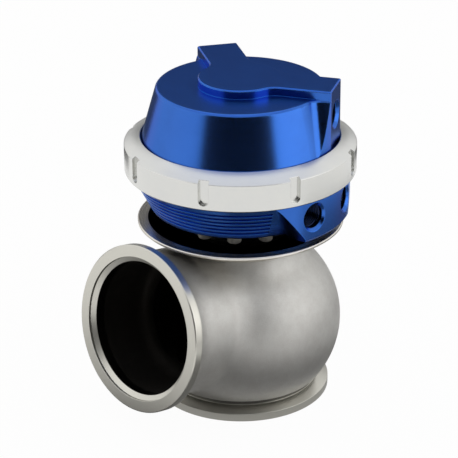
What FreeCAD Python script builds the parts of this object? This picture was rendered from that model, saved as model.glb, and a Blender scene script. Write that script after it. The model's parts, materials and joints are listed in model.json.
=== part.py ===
import FreeCAD, Part
import Sketcher
import math
import os

# A pneumatic wastegate for a turbocharged engine, about 131 mm tall.
# A cast stainless valve housing with an inlet below and an outlet at the side
# carries a turned aluminium actuator. Boost pressure under the rubber diaphragm
# lifts the poppet valve off its seat against three nested springs.
# Lengths are in millimetres. +Z runs up the valve stem, the origin is the centre of
# the inlet face, and the outlet leaves along -Y.

# Cast valve housing, from the inlet face up
bulb_height = 30.0
outlet_over_belly = 3.6
outlet_rise = 9.3
outlet_bore = 26.0
outlet_wall = 2.5
outlet_past_dish = 15.7
outlet_mouth = 2.0
outlet_blend = 10.0
bulb_belly = 13.3
bulb_curve = 37.0
bulb_wall = 4.5
pad_over_tube = 4.3
neck_radius = 24.5
neck_length = 2.2
neck_flare = 3.0
neck_flare_height = 6.8
roof_thickness = 12.4
guide_boss_radius = 10.5
guide_boss_length = 9.0

# V-band flanges: a step up from the pipe to the hub, and a lip out to the rim
inlet_step = 2.3
inlet_lip = 4.7
outlet_step = 1.2
outlet_lip = 2.9
flange_rim = 3.3
flange_slope = 20.0
flange_edge = 0.35
flange_foot = 2.0

# Clearances
slip_gap = 0.05
stem_gap = 0.04
hole_gap = 0.2
show_gap = 0.3
overrun = 30.0

# Valve seat, valve and guide
stem_travel = 12.0
seat_height = 9.0
seat_bore = 23.0
seat_width = 2.0
seat_wall = 3.0
throat_gap = 1.3
valve_margin = 2.2
valve_tulip = 16.0
stem_radius = 4.0
thread_radius = 3.0
guide_wall = 2.46
guide_length = 24.0

# Stack between the hot casting and the actuator
stack_height = 10.9
gasket_thickness = 0.8
dish_thickness = 1.3
dish_radius = 40.3
dish_rise = 6.0
dish_rim_width = 4.1
dish_flare = 9.3
plate_thickness = 2.0
plate_margin = 1.25
spacer_inner = 8.0
spacer_outer = 19.5

# Screws
mount_circle = 14.2
mount_count = 6
mount_screw = 2.5
mount_head = 4.25
mount_head_height = 5.0
mount_grip = 10.0
plate_screw_gap = 1.05
plate_count = 12
plate_start = 10.0
plate_screw = 1.5
plate_head = 2.75
plate_head_height = 3.0
plate_grip = 5.5
socket_share = 0.5

# Lower housing
edge_rise = 1.7
cone_height = 14.5
thread_height = 8.5
housing_over_plate = 15.3
housing_flare = 7.6
thread_step = 0.4
floor_thickness = 3.9
island_rise = 4.8
bead_margin = 7.2
chamber_step = 3.5
roll_step = 0.8
roll_depth = 7.0
island_step = 5.5
fin_count = 6
fin_gap = 1.9
fin_pitch = 1.85
fin_width = 0.85
fin_depth = 1.1
fin_start = 51.0
fin_sweep = 282.0
boss_angle = 12.0
boss_drop = 0.8
boss_half_low = 14.2
boss_half_high = 26.2
boss_chamfer = 1.4
boss_blend = 4.5
port_drop = 7.2
port_spread = 15.0
port_radius = 4.6
port_countersink = 1.2

# Stem bush and seal in the lower housing
bush_wall = 2.96
seal_neck_wall = 1.7
seal_radius = 7.5
seal_thickness = 2.2
clip_thickness = 0.8
washer_clearance = 0.5

# Diaphragm and its clamp
washer_step = 3.0
washer_thickness = 1.5
cloth = 1.2
piston_step = 3.5
piston_floor = 2.0
piston_wall = 1.4
piston_height = 8.5
bead_width = 2.6
bead_depth = 1.2
nut_height = 6.0
nut_radius = 5.77
nut_washer_radius = 7.5
nut_washer_thickness = 1.2

# Springs: how far each coil's mean radius lies inside what is round it, and the wires
outer_coil_step = 4.6
middle_coil_step = 5.8
inner_coil_step = 5.4
outer_wire = 1.6
middle_wire = 1.4
inner_wire = 1.2
outer_turns = 4.5
middle_turns = 5.5
inner_turns = 6.5
spring_room_step = 6.2

# Top cap
cap_inset = 4.2
cap_foot = 5.6
cap_cone_height = 20.0
cap_lip_height = 2.8
cap_lip_gap = 0.7
cap_step = 0.3
cap_lean = 15.9
cap_shoulder = 1.5
cap_roof = 3.0
cap_room_clearance = 2.0
disc_radius = 16.2
disc_blend = 7.0
arm_height = 3.4
arm_half = 8.0
arm_inset = 0.4
arm_blend = 5.0
arm_draft = 16.5
arm_angle = 30.0
cap_port_drop = 8.3
top_edge = 0.5

# Locking collar
collar_wall = 2.8
collar_rise = 5.7
collar_gap = 0.6
collar_drop = 2.9
collar_crown = 20.0
collar_edge = 0.3
slot_count = 8
slot_start = 28.0
slot_width = 4.1
slot_depth = 1.5
slot_foot = 1.9
dowel_radius = 1.2
dowel_inset = 2.6
dowel_length = 4.6
dowel_angle = 90.0

doc = FreeCAD.newDocument("Wastegate")
sheet = doc.addObject("Spreadsheet::Sheet", "sheet")


class Size:
    """A number that remembers the sheet formula that gives it."""

    def __init__(self, value, text):
        self.value = float(value)
        self.text = text

    def join(self, sign, other, value, swapped=False):
        right = other if isinstance(other, Size) else Size(other, repr(float(other)))
        first, last = (right, self) if swapped else (self, right)
        return Size(value, "(%s %s %s)" % (first.text, sign, last.text))

    def __add__(self, other):
        return self.join("+", other, self.value + number(other))

    def __radd__(self, other):
        return self.join("+", other, number(other) + self.value, swapped=True)

    def __sub__(self, other):
        return self.join("-", other, self.value - number(other))

    def __rsub__(self, other):
        return self.join("-", other, number(other) - self.value, swapped=True)

    def __mul__(self, other):
        return self.join("*", other, self.value * number(other))

    def __rmul__(self, other):
        return self.join("*", other, number(other) * self.value, swapped=True)

    def __truediv__(self, other):
        return self.join("/", other, self.value / number(other))

    def __neg__(self):
        return 0 - self


def number(size):
    return size.value if isinstance(size, Size) else float(size)


def of_angle(kind, angle):
    """The sine, cosine or tangent of an angle in degrees, as a size."""
    return Size(getattr(math, kind)(math.radians(number(angle))), "%s(%s)" % (kind, angle.text))


# The sheet holds every length and angle above. From here on each name stands for its cell.
driving = [(name, value) for name, value in globals().items() if isinstance(value, float)]
for row, (name, value) in enumerate(driving, 1):
    sheet.set("A%d" % row, name.replace("_", " "))
    sheet.set("B%d" % row, repr(value))
    sheet.setAlias("B%d" % row, name)
    globals()[name] = Size(value, "sheet." + name)


def named_body(name):
    body = doc.addObject("PartDesign::Body", name)
    body.Label = name
    return body


def plane_of(body, role):
    return [feature for feature in body.Origin.OriginFeatures if feature.Role == role][0]


def new_sketch(body, name, role, shift=(0, 0, 0), turn=None, about=(0, 0, 1)):
    """A sketch on one of the body's own planes, moved and turned by sheet sizes."""
    sketch = body.newObject("Sketcher::SketchObject", name)
    sketch.AttachmentSupport = [(plane_of(body, role), "")]
    sketch.MapMode = "FlatFace"
    angle = number(turn) if turn is not None else 0
    sketch.AttachmentOffset = FreeCAD.Placement(
        FreeCAD.Vector(*[number(part) for part in shift]), FreeCAD.Rotation(FreeCAD.Vector(*about), angle))
    for axis, part in zip("xyz", shift):
        if isinstance(part, Size):
            sketch.setExpression("AttachmentOffset.Base." + axis, part.text)
    if isinstance(turn, Size):
        sketch.setExpression("AttachmentOffset.Rotation.Angle", turn.text)
    return sketch


def outward(angle, distance):
    """The shift, in a YZ sketch's own axes, to a place at an angle round the stem."""
    return (of_angle("sin", angle) * distance, 0, of_angle("cos", angle) * distance)


def tie(sketch, kind, items, size):
    """Add a dimension to a sketch and bind it to the sheet."""
    index = sketch.addConstraint(Sketcher.Constraint(kind, *items, number(size)))
    if isinstance(size, Size):
        sketch.setExpression("Constraints[%d]" % index, size.text)


def tie_point(sketch, geometry, end, x, y):
    for kind, size in (("DistanceX", x), ("DistanceY", y)):
        if number(size) == 0 and not isinstance(size, Size):
            sketch.addConstraint(Sketcher.Constraint("PointOnObject", geometry, end, -2 if kind == "DistanceX" else -1))
        else:
            tie(sketch, kind, (geometry, end), size)


def outline(sketch, points):
    """A closed outline. A point is x, y and, for an arc that leads to the next point,
    the arc's radius: above zero the arc turns left, below zero right."""
    spots = [FreeCAD.Vector(number(point[0]), number(point[1]), 0) for point in points]
    first = sketch.GeometryCount
    total = len(points)
    starts = []
    ends = []
    for index, point in enumerate(points):
        here, there = spots[index], spots[(index + 1) % total]
        if len(point) == 3 and number(point[2]) != 0:
            radius = number(point[2])
            chord = there - here
            across = math.sqrt(max(radius * radius - chord.Length ** 2 / 4, 0))
            side = FreeCAD.Vector(-chord.y, chord.x, 0).normalize() * math.copysign(across, radius)
            centre = (here + there) / 2 + side
            circle = Part.Circle(centre, FreeCAD.Vector(0, 0, 1), abs(radius))
            begin, end = (here, there) if radius > 0 else (there, here)
            angles = [math.atan2(spot.y - centre.y, spot.x - centre.x) for spot in (begin, end)]
            sketch.addGeometry(Part.ArcOfCircle(circle, angles[0], angles[1]), False)
            starts.append(1 if radius > 0 else 2)
            ends.append(2 if radius > 0 else 1)
        else:
            sketch.addGeometry(Part.LineSegment(here, there), False)
            starts.append(1)
            ends.append(2)
    for index in range(total):
        after = (index + 1) % total
        sketch.addConstraint(Sketcher.Constraint(
            "Coincident", first + index, ends[index], first + after, starts[after]))
    for index, point in enumerate(points):
        tie_point(sketch, first + index, starts[index], point[0], point[1])
        if len(point) == 3 and number(point[2]) != 0:
            radius = point[2] if number(point[2]) > 0 else -point[2]
            tie(sketch, "Radius", (first + index,), radius)
    return sketch


def circle(sketch, x, y, radius):
    index = sketch.addGeometry(Part.Circle(
        FreeCAD.Vector(number(x), number(y), 0), FreeCAD.Vector(0, 0, 1), number(radius)), False)
    tie_point(sketch, index, 3, x, y)
    tie(sketch, "Radius", (index,), radius)
    return sketch


def revolve(body, sketch, kind="Revolution", axis="V_Axis", angle=360):
    feature = body.newObject("PartDesign::" + kind, sketch.Name + "_turned")
    feature.Profile = sketch
    feature.ReferenceAxis = (sketch, [axis])
    feature.Angle = number(angle)
    if isinstance(angle, Size):
        feature.setExpression("Angle", angle.text)
    sketch.Visibility = False
    return feature


def turned(body, name, points):
    """A round solid from its half section in radius and height."""
    return revolve(body, outline(new_sketch(body, name, "XZ_Plane"), points))


def turned_cut(body, name, points):
    return revolve(body, outline(new_sketch(body, name, "XZ_Plane"), points), "Groove")


def drive(feature, **sizes):
    for key, size in sizes.items():
        setattr(feature, key, number(size))
        if isinstance(size, Size):
            feature.setExpression(key, size.text)
    return feature


def raised(body, sketch, length, reverse=False):
    pad = body.newObject("PartDesign::Pad", sketch.Name + "_raised")
    pad.Profile = sketch
    pad.Reversed = reverse
    sketch.Visibility = False
    return drive(pad, Length=length)


def sunk(body, sketch, length, reverse=False):
    pocket = body.newObject("PartDesign::Pocket", sketch.Name + "_sunk")
    pocket.Profile = sketch
    pocket.Reversed = reverse
    sketch.Visibility = False
    return drive(pocket, Length=length)


def round_the_axis(body, features, count, angle=360):
    pattern = body.newObject("PartDesign::PolarPattern", features[-1].Name + "_ring")
    pattern.Originals = features
    pattern.Axis = (plane_of(body, "Z_Axis"), [""])
    pattern.Angle = number(angle)
    pattern.Occurrences = count
    if isinstance(angle, Size):
        pattern.setExpression("Angle", angle.text)
    body.Tip = pattern
    return pattern


def drilled(body, name, height, depth, radius, circle_radius, count, start=0):
    """A ring of holes, drilled down from a height."""
    angle = start if isinstance(start, Size) else Size(start, repr(float(start)))
    sketch = new_sketch(body, name, "XY_Plane", (0, 0, height))
    circle(sketch, of_angle("cos", angle) * circle_radius, of_angle("sin", angle) * circle_radius, radius)
    return round_the_axis(body, [sunk(body, sketch, depth)], count)


# Radii and levels that follow from the driving sizes
outlet_height = bulb_height + outlet_over_belly
tube_radius = outlet_bore + outlet_wall
outlet_hub = tube_radius + outlet_step
outlet_rim = outlet_hub + outlet_lip
outlet_slope = (outlet_rim - outlet_hub) * of_angle("tan", flange_slope)
outlet_reach = dish_radius + outlet_past_dish
valve_radius = seat_bore + seat_width
seat_outer = valve_radius + seat_wall
inlet_hub = seat_outer + inlet_step
inlet_rim = inlet_hub + inlet_lip
inlet_slope = (inlet_rim - inlet_hub) * of_angle("tan", flange_slope)
throat_radius = valve_radius + throat_gap
bulb_radius = throat_radius + bulb_belly
pad_height = outlet_height + tube_radius + pad_over_tube
neck_height = pad_height - neck_length
chamber_roof = pad_height - roof_thickness
guide_boss_end = chamber_roof - guide_boss_length
guide_radius = stem_radius + stem_gap + guide_wall
plate_seat_height = pad_height + stack_height
housing_edge_height = plate_seat_height + edge_rise
housing_shoulder = housing_edge_height + cone_height
split_height = housing_shoulder + thread_height
chamber_floor = plate_seat_height + floor_thickness
island_height = chamber_floor + island_rise
fin_first = housing_edge_height + fin_gap
boss_bottom = plate_seat_height - boss_drop
port_height = housing_shoulder - port_drop
port_mouth = port_radius + port_countersink
collar_top = split_height + collar_rise
cap_base_height = split_height + cap_foot
crescent_height = cap_base_height + cap_cone_height
cap_port_height = crescent_height - cap_port_drop
dish_floor_radius = dish_radius - dish_flare
plate_circle = spacer_outer + plate_head + plate_screw_gap
plate_radius = plate_circle + plate_head + plate_margin
housing_radius = plate_radius + housing_over_plate
housing_edge_radius = housing_radius - housing_flare
thread_outer = housing_radius - thread_step
bead_inner = thread_outer - bead_margin
chamber_radius = bead_inner - chamber_step
roll_radius = bead_inner - roll_step
island_radius = chamber_radius - island_step
bush_radius = stem_radius + stem_gap + bush_wall
seal_neck_radius = seal_radius + seal_neck_wall
piston_radius = chamber_radius - piston_step
washer_radius = piston_radius - washer_step
outer_coil = piston_radius - outer_coil_step
middle_coil = outer_coil - middle_coil_step
inner_coil = middle_coil - inner_coil_step
spring_room = roll_radius - spring_room_step
cap_lip_radius = thread_outer - cap_lip_gap
cap_base_radius = thread_outer - cap_inset
cap_radius = cap_base_radius + cap_step
arm_reach = cap_base_radius - arm_inset
collar_radius = thread_outer + collar_wall
collar_bore = cap_base_radius + collar_gap
dowel_circle = thread_outer - dowel_inset
neck_foot = neck_height - neck_flare_height
chamber_inner = bulb_radius - bulb_wall
dish_bottom = pad_height + gasket_thickness
dish_floor = dish_bottom + dish_thickness
dish_rim_height = dish_bottom + dish_rise
plate_bottom = plate_seat_height - plate_thickness
seal_bottom = island_height
clip_bottom = seal_bottom + seal_thickness
neck_top = clip_bottom + clip_thickness
washer_bottom = neck_top + washer_clearance
cloth_bottom = washer_bottom + washer_thickness
piston_bottom = cloth_bottom + cloth
spring_bottom = piston_bottom + piston_floor
roof_height = crescent_height - cap_roof
arm_top = crescent_height + arm_height
piston_top = piston_bottom + piston_height
cap_room_top = piston_top + stem_travel + cap_room_clearance
lip_top = split_height + cap_lip_height
mount_seat = island_height - mount_head_height


def build_valve_housing():
    body = named_body("valve_housing")
    hub_end = flange_rim + inlet_slope + flange_foot
    turned(body, "casting_section", [
        (0, 0),
        (inlet_rim - flange_edge, 0),
        (inlet_rim, flange_edge),
        (inlet_rim, flange_rim),
        (inlet_hub, flange_rim + inlet_slope),
        (inlet_hub, hub_end),
        (inlet_hub + 1.4, hub_end + 0.2, bulb_curve),
        (bulb_radius, bulb_height, bulb_curve),
        (neck_radius + neck_flare, neck_foot),
        (neck_radius, neck_height),
        (neck_radius, pad_height),
        (0, pad_height)])
    outlet = new_sketch(body, "outlet_section", "YZ_Plane", (0, outlet_height, 0), 180 - outlet_rise)
    hub_start = outlet_reach - flange_rim - outlet_slope
    outline(outlet, [(0, 0), (outlet_reach, 0),
                     (outlet_reach, outlet_rim - flange_edge),
                     (outlet_reach - flange_edge, outlet_rim),
                     (outlet_reach - flange_rim, outlet_rim),
                     (hub_start, outlet_hub),
                     (hub_start - flange_foot, outlet_hub),
                     (hub_start - flange_foot - outlet_step, tube_radius),
                     (0, tube_radius)])
    revolve(body, outlet, axis="H_Axis")

    def where_tube_meets_bulb(edge, spot):
        return edge.Curve.TypeId == "Part::GeomBSplineCurve" and spot.z < number(neck_foot)

    dressed(body, "Fillet", "tube_blend", where_tube_meets_bulb, outlet_blend)
    turned_cut(body, "chamber_section", [
        (0, 0),
        (seat_outer + slip_gap, 0),
        (seat_outer + slip_gap, seat_height + 0.8),
        (throat_radius, seat_height + 0.8),
        (throat_radius, seat_height + 4.5),
        (throat_radius + 5.5, seat_height + 9.0, chamber_inner * 0.9),
        (chamber_inner, bulb_height, chamber_inner * 0.8),
        (throat_radius, chamber_roof - 1.5),
        (guide_boss_radius + 2.0, chamber_roof),
        (guide_boss_radius, chamber_roof - 2.0),
        (guide_boss_radius - 1.0, guide_boss_end),
        (0, guide_boss_end)])
    bore = new_sketch(body, "outlet_passage", "YZ_Plane", (0, outlet_height, 0), 180 - outlet_rise)
    outline(bore, [(0, 0), (outlet_reach, 0),
                   (outlet_reach, outlet_bore + outlet_mouth),
                   (outlet_reach - 1.0, outlet_bore + outlet_mouth),
                   (outlet_reach - 2.2, outlet_bore),
                   (chamber_inner * 0.8, outlet_bore),
                   (chamber_inner * 0.45, outlet_bore * 0.77),
                   (chamber_inner * 0.45, 0)])
    revolve(body, bore, "Groove", axis="H_Axis")
    guide_hole = new_sketch(body, "guide_hole", "XY_Plane", (0, 0, pad_height))
    circle(guide_hole, 0, 0, guide_radius)
    sunk(body, guide_hole, pad_height - guide_boss_end)
    drilled(body, "mount_threads", pad_height, mount_grip + 1.5, mount_screw + slip_gap, mount_circle, mount_count)
    return body


def build_valve_seat():
    body = named_body("valve_seat")
    seat_face = valve_radius - seat_bore
    turned(body, "seat_section", [
        (seat_bore, 0),
        (seat_outer - 0.4, 0),
        (seat_outer, 0.4),
        (seat_outer, seat_height + 0.8),
        (valve_radius + 0.6, seat_height + 0.8),
        (valve_radius + 0.6, seat_height + 0.6),
        (seat_bore, seat_height + 0.6 - seat_face - 0.6)])
    return body


def build_valve():
    body = named_body("valve")
    rim_low = seat_height
    face = 1.9
    turned(body, "valve_section", [
        (0, rim_low - face + 1.0),
        (valve_radius - face, rim_low - face),
        (valve_radius, rim_low),
        (valve_radius, rim_low + valve_margin),
        (valve_radius - 1.2, rim_low + valve_margin + 0.6, -(valve_tulip * 1.6)),
        (stem_radius, rim_low + valve_tulip),
        (stem_radius, washer_bottom),
        (thread_radius, washer_bottom),
        (thread_radius, spring_bottom + nut_washer_thickness + nut_height + 0.9),
        (thread_radius - 0.6, spring_bottom + nut_washer_thickness + nut_height + 1.5),
        (0, spring_bottom + nut_washer_thickness + nut_height + 1.5)])
    return body


def build_valve_guide():
    body = named_body("valve_guide")
    top = pad_height - 1.0
    turned(body, "guide_section", [
        (stem_radius + stem_gap, top - guide_length),
        (guide_radius - 0.6, top - guide_length),
        (guide_radius, top - guide_length + 0.6),
        (guide_radius, top),
        (stem_radius + stem_gap, top)])
    return body


def flat_ring(name, bottom, top, inner, outer):
    body = named_body(name)
    turned(body, name + "_section", [(inner, bottom), (outer, bottom), (outer, top), (inner, top)])
    return body


def build_base_gasket():
    body = flat_ring("base_gasket", pad_height, dish_bottom, guide_radius + 1.0, neck_radius - 1.0)
    drilled(body, "gasket_holes", dish_bottom, gasket_thickness, mount_screw + hole_gap, mount_circle, mount_count)
    return body


def build_heat_shield():
    body = named_body("heat_shield")
    wall_foot = dish_floor_radius
    rim_inner = dish_radius - dish_rim_width
    lift = dish_rim_height - dish_thickness
    turned(body, "dish_section", [
        (guide_radius + 1.0, dish_bottom),
        (wall_foot, dish_bottom),
        (rim_inner + 0.4, lift),
        (dish_radius - 0.4, lift),
        (dish_radius, lift + 0.4),
        (dish_radius, dish_rim_height - 0.3),
        (dish_radius - 0.3, dish_rim_height),
        (rim_inner, dish_rim_height),
        (wall_foot - 0.9, dish_floor),
        (guide_radius + 1.0, dish_floor)])
    drilled(body, "dish_holes", dish_floor, dish_thickness, mount_screw + hole_gap, mount_circle, mount_count)
    return body


def build_thermal_spacer():
    body = flat_ring("thermal_spacer", dish_floor, plate_bottom, spacer_inner, spacer_outer)
    turned_cut(body, "spacer_waist", [
        (spacer_outer + 1.0, dish_floor + 1.6), (spacer_outer - 1.2, dish_floor + 1.6),
        (spacer_outer - 1.2, plate_bottom - 1.6), (spacer_outer + 1.0, plate_bottom - 1.6)])
    drilled(body, "spacer_holes", plate_bottom, plate_bottom - dish_floor, mount_screw + hole_gap,
            mount_circle, mount_count)
    return body


def build_base_plate():
    body = flat_ring("base_plate", plate_bottom, plate_seat_height, spacer_inner, plate_radius)
    drilled(body, "plate_mount_holes", plate_seat_height, plate_thickness, mount_screw + hole_gap,
            mount_circle, mount_count)
    drilled(body, "plate_screw_holes", plate_seat_height, plate_thickness, plate_screw + hole_gap,
            plate_circle, plate_count, plate_start)
    return body


def screw_ring(name, count, start, ring, under_head, up, head, head_height, shank, shank_length):
    """Socket head cap screws on a circle. up is +1 for heads above the seat, -1 for below."""
    group = []
    for index in range(count):
        screw = doc.addObject("Part::Cylinder", "%s_head_%d" % (name, index))
        stem = doc.addObject("Part::Cylinder", "%s_shank_%d" % (name, index))
        hole = doc.addObject("Part::Prism", "%s_socket_%d" % (name, index))
        drive(screw, Radius=head, Height=head_height)
        drive(stem, Radius=shank, Height=shank_length + head_height * 0.5)
        hole.Polygon = 6
        drive(hole, Circumradius=head * socket_share * 1.1, Height=head_height * 0.55)
        turn = Size(360.0 / count * index, repr(360.0 / count * index)) + start
        x, y = of_angle("cos", turn) * ring, of_angle("sin", turn) * ring
        if up > 0:
            levels = (under_head, under_head - shank_length, under_head + head_height * 0.45)
        else:
            levels = (under_head - head_height, under_head - head_height * 0.5, under_head - head_height)
        for piece, level in zip((screw, stem, hole), levels):
            piece.Placement.Base = FreeCAD.Vector(number(x), number(y), number(level))
            piece.setExpression("Placement.Base.x", x.text)
            piece.setExpression("Placement.Base.y", y.text)
            piece.setExpression("Placement.Base.z", level.text)
        whole = doc.addObject("Part::Fuse", "%s_blank_%d" % (name, index))
        whole.Base, whole.Tool = screw, stem
        cut = doc.addObject("Part::Cut", "%s_%d" % (name, index))
        cut.Base, cut.Tool = whole, hole
        group.append(cut)
    compound = doc.addObject("Part::Compound", name)
    compound.Links = group
    compound.Label = name
    return compound


def build_mounting_screws():
    length = mount_seat - pad_height + mount_grip
    return screw_ring("mounting_screws", mount_count, 0, mount_circle, mount_seat, 1,
                      mount_head, mount_head_height, mount_screw, length)


def build_plate_screws():
    return screw_ring("base_plate_screws", plate_count, plate_start, plate_circle, plate_bottom, -1,
                      plate_head, plate_head_height, plate_screw, plate_thickness + plate_grip)


def cone_radius(height):
    """Radius of the lower housing's finned cone at a height."""
    share = (height - housing_edge_height) / (housing_shoulder - housing_edge_height)
    return housing_edge_radius + share * (housing_radius - housing_edge_radius)


def edge_names(shape, wanted):
    """Names of the edges whose middle point passes a test."""
    names = []
    for index, edge in enumerate(shape.Edges):
        spot = edge.valueAt((edge.FirstParameter + edge.LastParameter) / 2)
        if wanted(edge, spot):
            names.append("Edge%d" % (index + 1))
    return names


def dressed(body, kind, name, wanted, size):
    """A fillet or chamfer on the edges of the body's tip that pass a test."""
    doc.recompute()
    base = body.Tip
    names = edge_names(base.Shape, wanted)
    feature = body.newObject("PartDesign::" + kind, name)
    feature.Base = (base, names)
    return drive(feature, **{"Radius" if kind == "Fillet" else "Size": size})


def port(body, name, angle, height, inner, surface):
    """A drilled and countersunk port that points straight out at an angle."""
    sketch = new_sketch(body, name, "XY_Plane", (0, 0, height), angle)
    outline(sketch, [(inner, 0), (surface + 3.0, 0), (surface + 3.0, port_mouth + 3.0),
                     (surface - (port_mouth - port_radius), port_radius), (inner, port_radius)])
    return revolve(body, sketch, "Groove", axis="H_Axis")


def build_lower_housing():
    body = named_body("lower_housing")
    turned(body, "housing_cone", [
        (0, boss_bottom), (cone_radius(boss_bottom), boss_bottom), (housing_radius, housing_shoulder),
        (0, housing_shoulder)])
    boss_start = plate_radius + 2.0
    boss = new_sketch(body, "port_boss", "YZ_Plane", outward(boss_angle, boss_start), boss_angle, (0, 1, 0))
    outline(boss, [(-boss_half_low, boss_bottom), (boss_half_low, boss_bottom),
                   (boss_half_high, housing_shoulder), (-boss_half_high, housing_shoulder)])
    raised(body, boss, housing_radius + 5.0 - boss_start)
    low, high = number(boss_bottom), number(housing_shoulder)

    def beside_the_boss(edge, spot):
        on_cone = abs(math.hypot(spot.x, spot.y) - number(cone_radius(spot.z))) < 0.2
        return low + 0.5 < spot.z < high - 0.5 and on_cone and edge.Curve.TypeId == "Part::GeomEllipse"

    dressed(body, "Fillet", "boss_scoop", beside_the_boss, boss_blend)
    turned_cut(body, "boss_envelope", [
        (housing_radius, boss_bottom + boss_chamfer),
        (housing_radius - boss_chamfer, boss_bottom - 0.1),
        (housing_radius + overrun, boss_bottom - 0.1),
        (housing_radius + overrun, housing_shoulder),
        (housing_radius, housing_shoulder)])
    turned_cut(body, "housing_underside", [
        (0, boss_bottom - 0.1), (housing_edge_radius, boss_bottom - 0.1),
        (housing_edge_radius, housing_edge_height), (0, housing_edge_height)])
    turned(body, "housing_section", [
        (0, plate_seat_height),
        (plate_radius + show_gap, plate_seat_height),
        (plate_radius + 1.4, housing_edge_height),
        (plate_radius + 1.4, housing_shoulder),
        (thread_outer, housing_shoulder),
        (thread_outer, split_height - 0.6),
        (thread_outer - 0.6, split_height),
        (0, split_height)])
    fins = new_sketch(body, "fin_section", "XZ_Plane", (0, 0, 0), fin_start, (0, 1, 0))
    for index in range(fin_count):
        foot = fin_first + fin_pitch * index
        head = foot + fin_width
        outline(fins, [(cone_radius(foot) - fin_depth, foot), (cone_radius(foot) + 2.0, foot),
                       (cone_radius(head) + 2.0, head), (cone_radius(head) - fin_depth, head)])
    revolve(body, fins, "Groove", angle=fin_sweep)
    turned_cut(body, "actuator_chamber", [
        (0, plate_seat_height - 0.1),
        (bush_radius, plate_seat_height - 0.1),
        (bush_radius, seal_bottom),
        (seal_radius, seal_bottom),
        (seal_radius, neck_top),
        (seal_neck_radius, neck_top),
        (seal_neck_radius + 0.6, island_height),
        (island_radius, island_height),
        (island_radius + 1.0, chamber_floor),
        (chamber_radius, chamber_floor),
        (chamber_radius, split_height - roll_depth - 2.0),
        (roll_radius, split_height - roll_depth),
        (roll_radius, split_height),
        (0, split_height)])
    turned_cut(body, "bead_groove", bead_section(-1))
    for side in (-1, 1):
        port(body, "port_low" if side < 0 else "port_high", boss_angle + side * port_spread,
             port_height, island_radius + 3.0, housing_radius)
    drilled(body, "mount_bores", island_height, mount_head_height, mount_head + hole_gap, mount_circle, mount_count)
    drilled(body, "mount_holes", mount_seat, mount_seat - plate_seat_height, mount_screw + hole_gap,
            mount_circle, mount_count)
    plate_holes = new_sketch(body, "plate_threads", "XY_Plane", (0, 0, plate_seat_height))
    circle(plate_holes, of_angle("cos", plate_start) * plate_circle, of_angle("sin", plate_start) * plate_circle,
           plate_screw + slip_gap)
    round_the_axis(body, [sunk(body, plate_holes, plate_grip + 0.5, reverse=True)], plate_count)
    drilled(body, "dowel_hole", split_height, dowel_length / 2 + hole_gap, dowel_radius + slip_gap,
            dowel_circle, 1, dowel_angle)
    return body


def bead_section(side):
    """Half of the groove that holds the diaphragm's bead, below (-1) or above (+1) the split."""
    web = split_height + cloth * 0.5 * side
    foot = split_height + bead_depth * side
    return [(roll_radius - 0.1, split_height), (roll_radius - 0.1, web), (bead_inner, web), (bead_inner, foot),
            (bead_inner + bead_width, foot), (bead_inner + bead_width, split_height)]


def build_stem_bush():
    return flat_ring("stem_bush", plate_seat_height, seal_bottom, stem_radius + stem_gap, bush_radius)


def build_stem_seal():
    body = flat_ring("stem_seal", seal_bottom, clip_bottom, stem_radius + stem_gap, seal_radius)
    turned_cut(body, "seal_lip", [
        (stem_radius + 0.9, clip_bottom), (stem_radius + 1.3, clip_bottom - seal_thickness * 0.6),
        (seal_radius - 1.2, clip_bottom - seal_thickness * 0.6), (seal_radius - 0.9, clip_bottom)])
    return body


def build_seal_clip():
    body = flat_ring("seal_clip", clip_bottom, neck_top, seal_radius - 1.8, seal_radius)
    gap = new_sketch(body, "clip_gap", "XY_Plane", (0, 0, neck_top))
    outline(gap, [(0, -1.5), (seal_radius + 1.0, -1.5), (seal_radius + 1.0, 1.5), (0, 1.5)])
    sunk(body, gap, clip_thickness)
    return body


def build_diaphragm_washer():
    body = named_body("diaphragm_washer")
    turned(body, "washer_section", [
        (thread_radius + slip_gap, washer_bottom), (washer_radius - 0.6, washer_bottom),
        (washer_radius, washer_bottom + 0.6), (washer_radius, cloth_bottom),
        (thread_radius + slip_gap, cloth_bottom)])
    return body


def build_diaphragm():
    body = named_body("diaphragm")
    inner_run = piston_radius + 0.1
    inner_back = inner_run + cloth
    outer_back = roll_radius - 0.2
    outer_run = outer_back - cloth
    arch = split_height + 1.6
    under_arch = (outer_run - inner_back) * 0.5
    over_arch = (outer_back - inner_run) * 0.5
    bead_end = bead_inner + bead_width
    low_web, high_web = split_height - cloth * 0.5, split_height + cloth * 0.5
    turned(body, "diaphragm_section", [
        (thread_radius + slip_gap, cloth_bottom),
        (inner_back - 1.5, cloth_bottom, 1.5),
        (inner_back, cloth_bottom + 1.5),
        (inner_back, arch, -under_arch),
        (inner_back + under_arch, arch + under_arch, -under_arch),
        (outer_run, arch),
        (outer_run, low_web),
        (bead_inner, low_web),
        (bead_inner, split_height - bead_depth),
        (bead_end, split_height - bead_depth),
        (bead_end, split_height + bead_depth),
        (bead_inner, split_height + bead_depth),
        (bead_inner, high_web),
        (outer_back, high_web),
        (outer_back, arch, over_arch),
        (outer_back - over_arch, arch + over_arch, over_arch),
        (inner_run, arch),
        (inner_run, piston_bottom),
        (thread_radius + slip_gap, piston_bottom)])
    return body


def build_piston():
    body = named_body("piston")
    turned(body, "piston_section", [
        (thread_radius + slip_gap, piston_bottom),
        (piston_radius, piston_bottom),
        (piston_radius, piston_top),
        (piston_radius - piston_wall, piston_top),
        (piston_radius - piston_wall, spring_bottom + 0.8),
        (piston_radius - piston_wall - 0.8, spring_bottom),
        (thread_radius + slip_gap, spring_bottom)])
    return body


def build_nut_washer():
    return flat_ring("stem_washer", spring_bottom, spring_bottom + nut_washer_thickness,
                     thread_radius + slip_gap, nut_washer_radius)


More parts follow.
